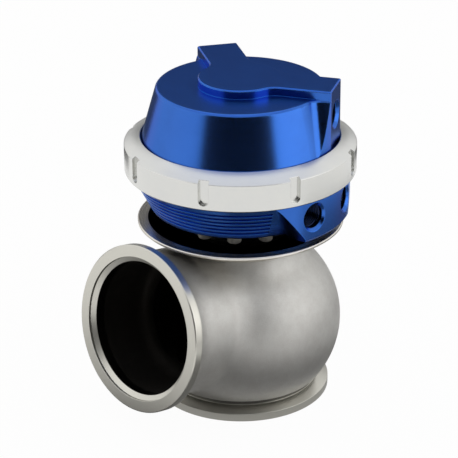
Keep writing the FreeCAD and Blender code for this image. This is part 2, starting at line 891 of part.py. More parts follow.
def build_stem_nut():
    body = named_body("stem_nut")
    bottom = spring_bottom + nut_washer_thickness
    blank = new_sketch(body, "nut_hexagon", "XY_Plane", (0, 0, bottom))
    corners = [Size(60.0 * index, repr(60.0 * index)) for index in range(6)]
    outline(blank, [(of_angle("cos", corner) * nut_radius, of_angle("sin", corner) * nut_radius)
                    for corner in corners])
    raised(body, blank, nut_height)
    hole = new_sketch(body, "nut_thread", "XY_Plane", (0, 0, bottom + nut_height))
    circle(hole, 0, 0, thread_radius + slip_gap)
    sunk(body, hole, nut_height)
    return body


def build_spring(name, mean_radius, wire_radius, turns, left_hand=False):
    """A helical spring between the piston's floor and the cap's roof."""
    body = named_body(name)
    wire = new_sketch(body, name + "_wire", "XZ_Plane")
    circle(wire, mean_radius, spring_bottom + wire_radius, wire_radius)
    coil = body.newObject("PartDesign::AdditiveHelix", name + "_coil")
    coil.Profile = wire
    coil.ReferenceAxis = (wire, ["V_Axis"])
    coil.Mode = "height-turns-angle"
    coil.LeftHanded = left_hand
    drive(coil, Height=roof_height - spring_bottom - wire_radius * 2, Turns=turns)
    wire.Visibility = False
    return body


def build_top_cap():
    body = named_body("top_cap")
    lean = of_angle("tan", cap_lean)
    top_radius = cap_base_radius - (crescent_height - cap_base_height) * lean
    foot_radius = cap_base_radius + (cap_base_height - lip_top) * lean
    turned(body, "cap_cone", [
        (0, lip_top), (foot_radius, lip_top), (top_radius, crescent_height), (0, crescent_height)])
    flare = (crescent_height - lip_top) * of_angle("tan", arm_draft)
    foot = new_sketch(body, "arm_foot", "YZ_Plane", (0, 0, 0), arm_angle, (0, 1, 0))
    outline(foot, [(-arm_half - flare, lip_top), (arm_half + flare, lip_top),
                   (arm_half, crescent_height), (-arm_half, crescent_height)])
    round_the_axis(body, [raised(body, foot, arm_reach + overrun)], 2, 180 - arm_angle * 2)
    bottom, floor, top = number(lip_top), number(crescent_height), number(arm_top)

    def beside_an_arm(edge, spot):
        leaning = bottom + 1.0 < spot.z < floor - 1.0 and edge.Curve.TypeId == "Part::GeomEllipse"
        return leaning and math.hypot(spot.x, spot.y) < number(cap_radius)

    dressed(body, "Fillet", "arm_blend", beside_an_arm, arm_blend)

    def crescent_rim(edge, spot):
        on_rim = abs(math.hypot(spot.x, spot.y) - number(top_radius)) < 0.05
        return abs(spot.z - floor) < 1e-4 and on_rim

    dressed(body, "Fillet", "cap_shoulder", crescent_rim, cap_shoulder)
    arm = new_sketch(body, "arm_section", "YZ_Plane", (0, 0, 0), arm_angle, (0, 1, 0))
    outline(arm, [(-arm_half, crescent_height - 3.0), (arm_half, crescent_height - 3.0),
                  (arm_half, arm_top), (-arm_half, arm_top)])
    round_the_axis(body, [raised(body, arm, arm_reach + overrun)], 2, 180 - arm_angle * 2)
    disc = new_sketch(body, "centre_disc", "XY_Plane", (0, 0, crescent_height - 1.0))
    circle(disc, 0, 0, disc_radius)
    raised(body, disc, arm_height + 1.0)

    def upright_corner(edge, spot):
        return floor + 0.3 < spot.z < top - 0.3 and abs(math.hypot(spot.x, spot.y) - number(disc_radius)) < 0.3

    dressed(body, "Fillet", "disc_corners", upright_corner, disc_blend)
    arm_end = new_sketch(body, "arm_end", "YZ_Plane", outward(arm_angle, arm_reach), arm_angle, (0, 1, 0))
    outline(arm_end, [(-foot_radius, bottom - 1.0), (foot_radius, bottom - 1.0),
                      (foot_radius, top + 1.0), (-foot_radius, top + 1.0)])
    round_the_axis(body, [sunk(body, arm_end, overrun * 2, reverse=True)], 2, 180 - arm_angle * 2)
    turned_cut(body, "cap_envelope", [
        (cap_radius, lip_top - 1.0), (cap_radius + overrun, lip_top - 1.0),
        (cap_radius + overrun, arm_top + 1.0), (cap_radius, arm_top + 1.0)])

    def top_rim(edge, spot):
        return abs(spot.z - top) < 1e-4

    dressed(body, "Chamfer", "top_bevel", top_rim, top_edge)
    turned(body, "cap_lip", [
        (0, split_height), (cap_lip_radius, split_height), (cap_lip_radius, lip_top), (0, lip_top)])
    turned_cut(body, "spring_chamber", [
        (0, split_height - 0.1), (roll_radius, split_height - 0.1),
        (roll_radius, cap_room_top), (spring_room, cap_room_top + 1.5),
        (spring_room, roof_height - 1.0), (spring_room - 1.0, roof_height), (0, roof_height)])
    turned_cut(body, "cap_bead_groove", bead_section(1))
    for angle in (arm_angle, 180 - arm_angle):
        port(body, "cap_port", angle, cap_port_height, spring_room - 2.0, arm_reach)
    drilled(body, "cap_dowel_hole", lip_top, cap_lip_height, dowel_radius + slip_gap, dowel_circle, 1, dowel_angle)
    return body


def build_locking_collar():
    body = named_body("locking_collar")
    bottom = housing_shoulder + show_gap
    thread = thread_outer + slip_gap * 2
    shoulder = collar_top - collar_drop
    turned(body, "collar_section", [
        (thread, bottom),
        (collar_radius - 0.5, bottom),
        (collar_radius, bottom + 0.5),
        (collar_radius, shoulder - collar_edge),
        (collar_radius - collar_edge, shoulder, collar_crown),
        (collar_bore + collar_edge, collar_top),
        (collar_bore, collar_top - collar_edge),
        (collar_bore, lip_top),
        (thread, lip_top)])
    reach = collar_radius - slot_depth
    slot = new_sketch(body, "slot_section", "YZ_Plane", outward(slot_start, reach), slot_start, (0, 1, 0))
    half = slot_width / 2
    foot = bottom + slot_foot + half
    outline(slot, [(-half, foot, half), (0, foot - half, half), (half, foot),
                   (half, collar_top + 1.0), (-half, collar_top + 1.0)])
    round_the_axis(body, [sunk(body, slot, slot_depth + 4.0, reverse=True)], slot_count)
    return body


def build_dowel():
    pin = doc.addObject("Part::Cylinder", "locating_dowel")
    pin.Label = "locating_dowel"
    drive(pin, Radius=dowel_radius, Height=dowel_length)
    place = (of_angle("cos", dowel_angle) * dowel_circle, of_angle("sin", dowel_angle) * dowel_circle,
             split_height - dowel_length / 2)
    pin.Placement.Base = FreeCAD.Vector(*[number(part) for part in place])
    for axis, part in zip("xyz", place):
        pin.setExpression("Placement.Base." + axis, part.text)
    return pin


pieces = [
    build_valve_housing(), build_valve_seat(), build_valve(), build_valve_guide(), build_base_gasket(),
    build_heat_shield(), build_thermal_spacer(), build_base_plate(), build_mounting_screws(),
    build_plate_screws(), build_lower_housing(), build_stem_bush(), build_stem_seal(), build_seal_clip(),
    build_diaphragm_washer(), build_diaphragm(), build_piston(), build_nut_washer(), build_stem_nut(),
    build_spring("outer_spring", outer_coil, outer_wire, outer_turns),
    build_spring("middle_spring", middle_coil, middle_wire, middle_turns, left_hand=True),
    build_spring("inner_spring", inner_coil, inner_wire, inner_turns),
    build_top_cap(), build_locking_collar(), build_dowel()]
doc.recompute()

for item in doc.Objects:
    failed = [state for state in item.State if state in ("Invalid", "Error")]
    if failed:
        raise RuntimeError("%s could not be worked out: %s" % (item.Name, item.getStatusString()))
for piece in pieces:
    if piece.Shape.isNull() or not piece.Shape.isValid():
        raise RuntimeError("%s has no valid shape" % piece.Label)

os.makedirs("parts", exist_ok=True)
for piece in pieces:
    piece.Shape.exportStep("parts/%s.step" % piece.Label)
    box = piece.Shape.optimalBoundingBox()
    print("%-20s %2d solid %9.1f mm3  z %6.1f to %6.1f" % (
        piece.Label, len(piece.Shape.Solids), piece.Shape.Volume, box.ZMin, box.ZMax))
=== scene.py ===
# %% [markdown]
# # A turbo wastegate, dressed for its picture
# A wastegate is a valve on an exhaust manifold. A cast stainless housing carries the gas, a poppet
# valve closes it, and the blue aluminium actuator on top holds springs and a diaphragm that say
# when the valve opens. The solids come from the CAD model, so this script adds what a solid lacks:
# finishes, the fine parts that repeat, the light and the camera.

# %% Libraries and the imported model
import json
import math
import bmesh
import bpy
from mathutils import Matrix, Vector


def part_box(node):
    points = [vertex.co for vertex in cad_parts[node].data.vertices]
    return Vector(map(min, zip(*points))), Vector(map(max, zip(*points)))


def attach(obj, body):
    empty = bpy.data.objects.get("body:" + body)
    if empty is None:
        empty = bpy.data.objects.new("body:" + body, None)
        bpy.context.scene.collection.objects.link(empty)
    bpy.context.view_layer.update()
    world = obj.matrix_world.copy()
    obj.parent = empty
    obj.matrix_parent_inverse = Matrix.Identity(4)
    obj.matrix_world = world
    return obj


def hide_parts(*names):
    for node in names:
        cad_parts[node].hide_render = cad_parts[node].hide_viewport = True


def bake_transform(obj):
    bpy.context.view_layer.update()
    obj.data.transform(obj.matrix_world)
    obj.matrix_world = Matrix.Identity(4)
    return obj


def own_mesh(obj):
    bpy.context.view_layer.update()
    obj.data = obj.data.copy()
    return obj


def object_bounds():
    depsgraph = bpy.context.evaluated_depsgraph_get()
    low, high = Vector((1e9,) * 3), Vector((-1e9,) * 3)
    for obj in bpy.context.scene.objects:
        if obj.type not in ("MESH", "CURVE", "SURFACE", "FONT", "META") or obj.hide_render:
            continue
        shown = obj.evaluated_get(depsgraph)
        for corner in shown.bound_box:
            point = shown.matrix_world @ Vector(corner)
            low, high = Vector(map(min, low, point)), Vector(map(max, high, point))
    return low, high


MM = 0.001
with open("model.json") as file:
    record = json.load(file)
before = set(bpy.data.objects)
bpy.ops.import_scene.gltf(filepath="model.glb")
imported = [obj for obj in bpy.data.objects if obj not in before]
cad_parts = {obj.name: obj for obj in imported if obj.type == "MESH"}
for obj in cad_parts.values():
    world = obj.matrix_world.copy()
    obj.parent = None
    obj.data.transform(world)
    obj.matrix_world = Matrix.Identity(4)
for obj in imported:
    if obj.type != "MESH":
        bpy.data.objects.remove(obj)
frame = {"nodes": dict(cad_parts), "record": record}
nodes = frame["nodes"]
mounts = {mount["name"]: mount for mount in frame["record"]["mounts"]}
cad_low, cad_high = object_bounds()
print("CAD box in mm:", [round(side / MM, 1) for side in cad_high - cad_low])

# %% [markdown]
# ## Colours
# Colours are written the way a picture shows them, as six hex digits. A shader works in linear
# light, so one function turns the digits into linear numbers.

# %% Colours from hex digits
def colour(digits):
    """Six hex digits, as seen on a screen, as a linear colour for a shader."""
    channels = [int(digits[start:start + 2], 16) / 255 for start in (0, 2, 4)]
    linear = [c / 12.92 if c <= 0.04045 else ((c + 0.055) / 1.055) ** 2.4 for c in channels]
    return (*linear, 1.0)

print("mid grey is", round(colour("808080")[0], 3), "in linear light")

# %% [markdown]
# ## A short way to write a node
# A material is a small network. One function adds a node, sets its properties and fills its
# sockets, either with a value or with a link from another node, so each finish below reads as a
# list of steps.

# %% One function for every shader node
def add_node(tree, kind, sockets=None, **properties):
    """Add a node to the tree, with its properties and its sockets set or linked."""
    node = tree.nodes.new(kind)
    for name, value in properties.items():
        setattr(node, name, value)
    for socket, source in (sockets or {}).items():
        if isinstance(source, bpy.types.NodeSocket):
            tree.links.new(source, node.inputs[socket])
        else:
            node.inputs[socket].default_value = source
    return node


def new_finish(name, base, roughness, metallic=1.0):
    """Start a finish from its plain values: the tree, its shader and the place on the part."""
    material = bpy.data.materials.new(name)
    material.use_nodes = True
    tree = material.node_tree
    shader = tree.nodes["Principled BSDF"]
    shader.inputs["Base Color"].default_value = colour(base)
    shader.inputs["Roughness"].default_value = roughness
    shader.inputs["Metallic"].default_value = metallic
    place = add_node(tree, "ShaderNodeTexCoord").outputs["Object"]
    return material, tree, shader, place

# %% [markdown]
# ## Patterns that machining and casting leave
# A lathe leaves fine rings round its own axis. Rings are noise that knows only two things, how far
# a spot is from the axis and how far along it lies, so the same pattern runs over faces, walls and
# cones. A blasted casting has an even grain in all directions instead.

# %% Lathe rings and cast grain
def along_and_round(tree, place, centre, axis):
    """How far each spot lies along an axis, and how far from it, in metres."""
    local = add_node(tree, "ShaderNodeVectorMath", {0: place, 1: centre}, operation="SUBTRACT")
    along = add_node(tree, "ShaderNodeVectorMath", {0: local.outputs[0], 1: axis},
                     operation="DOT_PRODUCT").outputs["Value"]
    on_axis = add_node(tree, "ShaderNodeVectorMath", {0: axis, "Scale": along}, operation="SCALE")
    out = add_node(tree, "ShaderNodeVectorMath", {0: local.outputs[0], 1: on_axis.outputs[0]},
                   operation="SUBTRACT")
    radius = add_node(tree, "ShaderNodeVectorMath", {0: out.outputs[0]}, operation="LENGTH")
    return along, radius.outputs["Value"]


def lathe_rings(tree, along, radius, pitch):
    """Uneven fine rings of about that pitch, between 0 and 1."""
    spot = add_node(tree, "ShaderNodeCombineXYZ", {0: radius, 1: along})
    return add_node(tree, "ShaderNodeTexNoise", {"Vector": spot.outputs[0], "Scale": 1 / pitch, "Detail": 2.0,
                                                 "Roughness": 0.7}).outputs["Fac"]


def grain(tree, place, size, detail=3.0):
    """Even noise with lumps of about that size, between 0 and 1."""
    return add_node(tree, "ShaderNodeTexNoise", {"Vector": place, "Scale": 1 / size, "Detail": detail,
                                                 "Roughness": 0.6}).outputs["Fac"]


def spread(tree, value, low, high, from_low=0.35, from_high=0.65):
    """Stretch a pattern between two numbers."""
    return add_node(tree, "ShaderNodeMapRange", {"Value": value, "From Min": from_low, "From Max": from_high,
                                                 "To Min": low, "To Max": high}).outputs["Result"]


def both(tree, first, second):
    """1 where both masks are 1."""
    return add_node(tree, "ShaderNodeMath", {0: first, 1: second}, operation="MULTIPLY").outputs[0]


def either(tree, first, second):
    """1 where one of two masks is 1."""
    return add_node(tree, "ShaderNodeMath", {0: first, 1: second}, operation="MAXIMUM").outputs[0]


def narrow(tree, value, low, high, soft=0.05 * MM):
    """A mask that is 1 between two distances and 0 outside them."""
    above = add_node(tree, "ShaderNodeMapRange", {"Value": value, "From Min": low - soft,
                                                  "From Max": low + soft})
    below = add_node(tree, "ShaderNodeMapRange", {"Value": value, "From Min": high + soft,
                                                  "From Max": high - soft})
    return both(tree, above.outputs[0], below.outputs[0])


def mixed(tree, mask, plain, masked, kind="RGBA"):
    """Go from one colour, number or normal to another where a mask is 1."""
    return add_node(tree, "ShaderNodeMix", {"Factor": mask, "A": plain, "B": masked},
                    data_type=kind).outputs["Result"]


def rounded(tree, radius, samples):
    """The normal of a surface whose edges are broken by that radius."""
    return add_node(tree, "ShaderNodeBevel", {"Radius": radius}, samples=samples).outputs["Normal"]


def relief(tree, height, depth, under=None, strength=1.0):
    """Turn a pattern into relief of a real depth in metres."""
    sockets = {"Height": height, "Distance": depth, "Strength": strength}
    if under is not None:
        sockets["Normal"] = under
    return add_node(tree, "ShaderNodeBump", sockets).outputs["Normal"]

# %% [markdown]
# ## Blue anodised aluminium
# The cap and the lower housing are turned and milled from aluminium, tumbled, dyed and sealed.
# The dye sits in a clear layer over bright metal, so the blue lives in the metal's own reflection,
# and the sealed layer adds a thin grey sheen. Flat tops are hazier than walls, because a face mill
# leaves a coarser mark than a turning tool. Edges are broken by a third of a millimetre or so, and
# the shader rounds them so that they catch light. Little light gets into the tapped ports, so their
# walls are darker than the rest. The collar has the same finish without a dye.

# %% Anodised finishes
UP = (0.0, 0.0, 1.0)
ORIGIN = (0.0, 0.0, 0.0)
PORTS = ("pressure_port_a", "pressure_port_b", "cap_port_a", "cap_port_b")
PORT_SHADE = "10264F"
THREAD_DEPTH = 0.3 * MM
# A finishing cut leaves marks about 0.1 mm apart, and tumbling a finer grain still. Both are drawn
# coarser here, because the picture couldn't show them at their real size.
RING_PITCH = 0.35 * MM
GRAIN_SIZE = 0.25 * MM
CLOUD_SIZE = 9 * MM


def in_ports(tree, place):
    """1 on the walls of the four tapped ports and 0 elsewhere."""
    inside = 0.0
    for port in PORTS:
        mount = mounts[port]
        reach, out = along_and_round(tree, place, tuple(mount["pos_m"]), tuple(mount["axis"]))
        wall = mount["dims"]["r_mm"] * MM + THREAD_DEPTH
        half = 0.5 * mount["dims"]["length_mm"] * MM
        bore = both(tree, narrow(tree, out, -1 * MM, wall), narrow(tree, reach, -half, half))
        inside = either(tree, inside, bore)
    return inside


def anodised(name, base, deep, edge, haze, sheen):
    """A dyed or clear anodised finish with lathe rings, broken edges and hazier flat tops."""
    material, tree, shader, place = new_finish(name, base, haze[0])
    along, radius = along_and_round(tree, place, ORIGIN, UP)
    rings = lathe_rings(tree, along, radius, RING_PITCH)
    clouds = spread(tree, grain(tree, place, CLOUD_SIZE), 0.0, 0.35)
    tint = mixed(tree, clouds, colour(base), colour(deep))
    tint = mixed(tree, in_ports(tree, place), tint, colour(PORT_SHADE))
    tree.links.new(tint, shader.inputs["Base Color"])
    normal = add_node(tree, "ShaderNodeNewGeometry").outputs["Normal"]
    upward = add_node(tree, "ShaderNodeSeparateXYZ", {0: normal}).outputs["Z"]
    gloss = add_node(tree, "ShaderNodeMath", {0: spread(tree, rings, -0.01, 0.015),
                                              1: spread(tree, upward, *haze)})
    tree.links.new(gloss.outputs[0], shader.inputs["Roughness"])
    turned = relief(tree, rings, 0.002 * MM, rounded(tree, edge, 6), 0.05)
    tumbled = relief(tree, grain(tree, place, GRAIN_SIZE), 0.003 * MM, turned, 0.1)
    tree.links.new(tumbled, shader.inputs["Normal"])
    shader.inputs["Coat Weight"].default_value = sheen
    shader.inputs["Coat Roughness"].default_value = 0.28
    return material


# A haze is the roughness of walls and of flat tops, then the upward tilt at which each one holds.
BLUE_HAZE = (0.22, 0.33, 0.9, 0.97)
CLEAR_HAZE = (0.2, 0.33, 0.3, 0.8)
blue_anodised = anodised("blue_anodised_aluminium", "2563C0", "1F59B2",
                         edge=0.45 * MM, haze=BLUE_HAZE, sheen=0.55)
clear_anodised = anodised("clear_anodised_aluminium", "DADAD6", "D2D3D3",
                          edge=0.25 * MM, haze=CLEAR_HAZE, sheen=0.1)
# Dye is seen through more of its layer at a flat angle, so the blue's edge reflection is tinted too.
blue_shader = blue_anodised.node_tree.nodes["Principled BSDF"]
blue_shader.inputs["Specular Tint"].default_value = colour("74ACEA")
print("anodised finishes:", blue_anodised.name, clear_anodised.name)

# %% [markdown]
# ## Investment-cast stainless with machined flanges
# The housing is cast, blasted to an even grey grain, and then only its flanges and its top pad are
# machined. One material holds both: masks made from the distance along each flange's axis say
# where the lathe went. Inside, the bore and the round chamber are painted dark, as painted shade for
# the inside of the housing, and a band of painted shade darkens the corner where the bulb meets the
# inlet flange. The shader also rounds the cast surface widely, because wax patterns and sand leave
# no sharp line where two shapes meet.

# %% The casting
outlet_rim = mounts["outlet_rim"]
outlet_axis = Vector(outlet_rim["axis"])
FLANGE_EDGE = 0.35 * MM
half_rim = 0.5 * outlet_rim["dims"]["length_mm"] * MM
outlet_end = Vector(outlet_rim["pos_m"]) + outlet_axis * (half_rim + FLANGE_EDGE)
FLANGE_DEPTH = 6.2 * MM
BORE_RADIUS = 26.05 * MM
BORE_DEPTH = 60 * MM
BORE_LIP = 1.6 * MM
CHAMBER_CENTRE = (0.0, 0.0, 30 * MM)
CHAMBER_RADIUS = 36.0 * MM
CORNER_LOW = 5.2 * MM
CORNER_HIGH = 6.9 * MM
# Blasting leaves pits of 0.1 to 0.2 mm, and a lathe's rings are as fine. Both are drawn coarser
# here so that they show.
PIT_SIZE = 0.45 * MM
LUMP_SIZE = 1.6 * MM
MOTTLE_SIZE = 4 * MM
CAST_ROUNDING = 8 * MM
TURNED_PITCH = 0.3 * MM
TURNED_DEPTH = 0.006 * MM


def passage_shade_mask(tree, place, reach, out):
    """1 in the outlet's bore and in the chamber round the valve, where shade is painted."""
    bore = both(tree, narrow(tree, out, -1 * MM, BORE_RADIUS), narrow(tree, reach, -BORE_DEPTH, -BORE_LIP))
    depth = add_node(tree, "ShaderNodeVectorMath", {0: place, 1: CHAMBER_CENTRE}, operation="DISTANCE")
    return either(tree, bore, narrow(tree, depth.outputs["Value"], -1 * MM, CHAMBER_RADIUS))


def cast_stainless():
    """Blasted casting, with machined flange faces, and painted shade in the passage and in the corner over
    the inlet flange.
    """
    material, tree, shader, place = new_finish("cast_stainless_steel", "C2C0BC", 0.5)
    height, radius = along_and_round(tree, place, ORIGIN, UP)
    reach, out = along_and_round(tree, place, tuple(outlet_end), tuple(outlet_axis))
    inlet = narrow(tree, height, -1 * MM, FLANGE_DEPTH)
    outlet = narrow(tree, reach, -FLANGE_DEPTH, 1 * MM)
    machined = either(tree, inlet, outlet)
    # Painted shade: a dark band at the height where the bulb meets the inlet flange, for the shade in that
    # corner.
    painted_corner_shade = spread(tree, narrow(tree, height, CORNER_LOW, CORNER_HIGH, 0.3 * MM), 0.0, 0.8, 0.0, 1.0)
    fine = grain(tree, place, PIT_SIZE, 4.0)
    mottle = spread(tree, grain(tree, place, MOTTLE_SIZE, 4.0), 0.0, 1.0)
    tone = mixed(tree, mottle, colour("C9C8C4"), colour("C3C1BD"))
    tone = mixed(tree, machined, tone, colour("CECCC3"))
    tone = mixed(tree, painted_corner_shade, tone, colour("3A3835"))
    # Painted shade: the bore and the chamber round the valve are darker, for the shade inside the housing.
    tone = mixed(tree, passage_shade_mask(tree, place, reach, out), tone, colour("4A4743"))
    tree.links.new(tone, shader.inputs["Base Color"])
    rough = mixed(tree, machined, spread(tree, fine, 0.46, 0.62), 0.31, "FLOAT")
    tree.links.new(rough, shader.inputs["Roughness"])
    cast = relief(tree, fine, 0.05 * MM, rounded(tree, CAST_ROUNDING, 12))
    cast = relief(tree, grain(tree, place, LUMP_SIZE), 0.05 * MM, cast, 0.3)
    turned = either(tree, both(tree, inlet, lathe_rings(tree, height, radius, TURNED_PITCH)),
                    both(tree, outlet, lathe_rings(tree, reach, out, TURNED_PITCH)))
    lathe = relief(tree, turned, TURNED_DEPTH, rounded(tree, 0.3 * MM, 6), 0.6)
    tree.links.new(mixed(tree, machined, cast, lathe, "VECTOR"), shader.inputs["Normal"])
    return material


casting = cast_stainless()
print("casting finish has", len(casting.node_tree.nodes), "nodes")

# %% [markdown]
# ## Turned, rolled and moulded finishes
# The other parts are plain turned steel, bronze, spring wire, rubber and graphite. They differ in
# colour, gloss and how coarse their marks are, so one recipe serves the metals and one the rubbers.

# %% Turned metals and rubbers
TURNED_EDGE = 0.2 * MM


def turned_metal(name, base, roughness):
    """A turned metal part with fine rings, broken edges and slight stains."""
    material, tree, shader, place = new_finish(name, base, roughness)
    along, radius = along_and_round(tree, place, ORIGIN, UP)
    rings = lathe_rings(tree, along, radius, TURNED_PITCH)
    value = spread(tree, grain(tree, place, 5 * MM), 0.9, 1.06)
    stain = add_node(tree, "ShaderNodeHueSaturation", {"Color": colour(base), "Value": value})
    tree.links.new(stain.outputs[0], shader.inputs["Base Color"])
    tree.links.new(spread(tree, rings, roughness - 0.04, roughness + 0.06), shader.inputs["Roughness"])
    marks = relief(tree, rings, TURNED_DEPTH, rounded(tree, TURNED_EDGE, 4), 0.6)
    tree.links.new(marks, shader.inputs["Normal"])
    return material


def moulded(name, base, roughness, weave):
    """Rubber or graphite, with a fine even relief."""
    material, tree, shader, place = new_finish(name, base, roughness, metallic=0.0)
    lumps = grain(tree, place, weave)
    tone = add_node(tree, "ShaderNodeHueSaturation", {"Color": colour(base),
                                                      "Value": spread(tree, lumps, 0.75, 1.2)})
    tree.links.new(tone.outputs[0], shader.inputs["Base Color"])
    tree.links.new(relief(tree, lumps, 0.03 * MM), shader.inputs["Normal"])
    return material


dish_low, dish_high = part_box("heat_shield")
DISH_RIM = dish_high.x - 4.0 * MM
DISH_FLOOR = dish_low.z + 1.0 * MM


def heat_shield_steel():
    """The dish: a bright turned rim round a blue-black floor."""
    material, tree, shader, place = new_finish("dark_floored_dish", "E4E0D8", 0.4)
    along, radius = along_and_round(tree, place, ORIGIN, UP)
    rings = lathe_rings(tree, along, radius, TURNED_PITCH)
    within = narrow(tree, radius, -1 * MM, DISH_RIM, 0.3 * MM)
    inside = both(tree, within, narrow(tree, along, DISH_FLOOR, 1.0))
    tone = mixed(tree, inside, colour("E4E0D8"), colour("0C0D13"))
    tree.links.new(tone, shader.inputs["Base Color"])
    tree.links.new(tone, shader.inputs["Specular Tint"])
    gloss = add_node(tree, "ShaderNodeMath", {0: spread(tree, rings, -0.03, 0.05),
                                              1: spread(tree, inside, 0.28, 0.24, 0.0, 1.0)})
    tree.links.new(gloss.outputs[0], shader.inputs["Roughness"])
    tree.links.new(relief(tree, rings, 0.004 * MM, rounded(tree, 0.3 * MM, 4), 0.6), shader.inputs["Normal"])
    return material


finishes = {
    "cast_stainless": casting,
    "blue_anodised": blue_anodised,
    "clear_anodised": clear_anodised,
    # A dish turned from stainless: a bright rim round a dark floor.
    "turned_steel": heat_shield_steel(),
    # A hard alloy ring, ground: a slightly warm grey with a tight gloss.
    "seat_steel": turned_metal("hard_seat_steel", "A7A198", 0.3),
    # Valve steel, ground all over: the same grey and a little glossier.
    "valve_steel": turned_metal("ground_valve_steel", "A39C93", 0.28),
    # Stainless that heat has browned: dark, and still a turned metal.
    "spacer_steel": turned_metal("turned_spacer_steel", "4A4946", 0.32),
    # Bearing bronze as it comes from the lathe: a dull yellow.
    "bronze": turned_metal("turned_bronze", "B48A55", 0.3),
    # Aluminium anodised black: dark, with a satin gloss.
    "plate_alloy": turned_metal("black_anodised_plate", "2A2B2E", 0.35),
    # Plated steel screws with a rolled knurl: pale, with broad soft highlights.
    "screw_steel": turned_metal("bright_screw_steel", "F0ECE2", 0.6),
    # Drawn wire kept oiled: dark grey with long highlights.
    "spring_steel": turned_metal("oiled_spring_wire", "6E6C69", 0.34),
    # Aluminium straight from the lathe: pale and clean.
    "bare_alloy": turned_metal("bare_turned_aluminium", "D5D6D8", 0.3),
    # Rolled graphite sheet: grey black and matt.
    "graphite": moulded("graphite_gasket_sheet", "2B2B2C", 0.6, 0.6 * MM),
    # Rubber from a polished mould: black, and the smoothest of the three.
    "seal_rubber": moulded("moulded_seal_rubber", "151515", 0.5, 1.2 * MM),
    # Rubber over cloth: matt, and the weave shows through as fine relief.
    "diaphragm_rubber": moulded("reinforced_diaphragm_rubber", "191A1C", 0.55, 0.5 * MM),
}
print("finishes:", len(finishes))

# %% [markdown]
# ## Each part gets its own finish
# The record says which finish each part has, under the name of its material slot. The CAD meshes
# stay as they are, and only the material in their slots changes.

# %% Finishes on the CAD parts
for name, node in nodes.items():
    for index, old in enumerate(node.data.materials):
        slot = old.name.split(".")[0]
        node.data.materials[index] = finishes[slot]
print("parts dressed:", len(nodes))

# %% [markdown]
# ## One tree that sets copies in a ring
# Screws sit evenly on a circle, and all are alike. Geometry Nodes place copies of one screw on the
# points of a circle, and Realize Instances makes them real mesh at the end, because an exported
# model keeps no instances. The circle's radius, the number and the first angle are named inputs.

# %% Ring of copies, as Geometry Nodes
def ring_tree(name, master, material):
    """A tree that copies the master round the Z axis."""
    tree = bpy.data.node_groups.new(name, "GeometryNodeTree")
    tree.interface.new_socket("Geometry", in_out="OUTPUT", socket_type="NodeSocketGeometry")
    for label, kind in (("Count", "NodeSocketInt"), ("Ring radius", "NodeSocketFloat"),
                        ("First angle", "NodeSocketFloat"), ("Height", "NodeSocketFloat")):
        tree.interface.new_socket(label, in_out="INPUT", socket_type=kind)
    given = add_node(tree, "NodeGroupInput").outputs
    index = add_node(tree, "GeometryNodeInputIndex").outputs[0]
    share = add_node(tree, "ShaderNodeMath", {0: index, 1: given["Count"]}, operation="DIVIDE").outputs[0]
    angle = add_node(tree, "ShaderNodeMath", {0: share, 1: math.tau, 2: given["First angle"]},
                     operation="MULTIPLY_ADD").outputs[0]
    across = add_node(tree, "ShaderNodeMath", {0: angle}, operation="COSINE").outputs[0]
    along = add_node(tree, "ShaderNodeMath", {0: angle}, operation="SINE").outputs[0]
    radius = given["Ring radius"]
    x = add_node(tree, "ShaderNodeMath", {0: across, 1: radius}, operation="MULTIPLY").outputs[0]
    y = add_node(tree, "ShaderNodeMath", {0: along, 1: radius}, operation="MULTIPLY").outputs[0]
    spot = add_node(tree, "ShaderNodeCombineXYZ", {0: x, 1: y, 2: given["Height"]}).outputs[0]
    turn = add_node(tree, "ShaderNodeCombineXYZ", {2: angle}).outputs[0]
    points = add_node(tree, "GeometryNodePoints", {"Count": given["Count"], "Position": spot}).outputs[0]
    shape = add_node(tree, "GeometryNodeObjectInfo", {"Object": master}).outputs["Geometry"]
    copies = add_node(tree, "GeometryNodeInstanceOnPoints", {"Points": points, "Instance": shape,
                                                             "Rotation": turn})
    real = add_node(tree, "GeometryNodeRealizeInstances", {0: copies.outputs[0]}).outputs[0]
    coat = add_node(tree, "GeometryNodeSetMaterial", {"Geometry": real, "Material": material}).outputs[0]
    add_node(tree, "NodeGroupOutput", {0: coat})
    return tree


def grown(name, tree, values):
    """Run a tree with these input values and keep what it makes as one plain mesh."""
    holder = bpy.data.objects.new(name + "_holder", bpy.data.meshes.new(name + "_holder"))
    bpy.context.scene.collection.objects.link(holder)
    modifier = holder.modifiers.new("grow", "NODES")
    modifier.node_group = tree
    for item in tree.interface.items_tree:
        if item.in_out == "INPUT" and item.name in values:
            modifier[item.identifier] = values[item.name]
    ready = holder.evaluated_get(bpy.context.evaluated_depsgraph_get())
    mesh = bpy.data.meshes.new_from_object(ready)
    mesh.name = name
    piece = bpy.data.objects.new(name, mesh)
    bpy.context.scene.collection.objects.link(piece)
    bpy.data.objects.remove(holder)
    print(name, "has", len(mesh.polygons), "faces")
    return piece

# %% [markdown]
# ## Socket screws with a knurled head
# A socket cap screw is cold headed: a knurl is rolled round its head, its top edge is bevelled and
# a hexagon is pressed into it. The mesh is made ring by ring, from the shank's tip round the head
# and down into the socket. The knurl is a radius that goes in and out round the head.

# %% One knurled screw
RIDGES = 24
STEPS = RIDGES * 2
GROOVE = 0.955
print("a knurl has", RIDGES, "ridges, with grooves at", GROOVE, "of the head's radius")


def ring_points(radius, height, shape):
    """A ring of points: round, knurled or hexagonal."""
    points = []
    for step in range(STEPS):
        angle = math.tau * step / STEPS
        reach = radius
        if shape == "knurl":
            reach = radius * (1.0 if step % 2 else GROOVE)
        elif shape == "hexagon":
            off_flat = (angle + math.pi / 6) % (math.pi / 3) - math.pi / 6
            reach = radius * math.cos(math.pi / 6) / math.cos(off_flat)
        points.append((reach * math.cos(angle), reach * math.sin(angle), height))
    return points


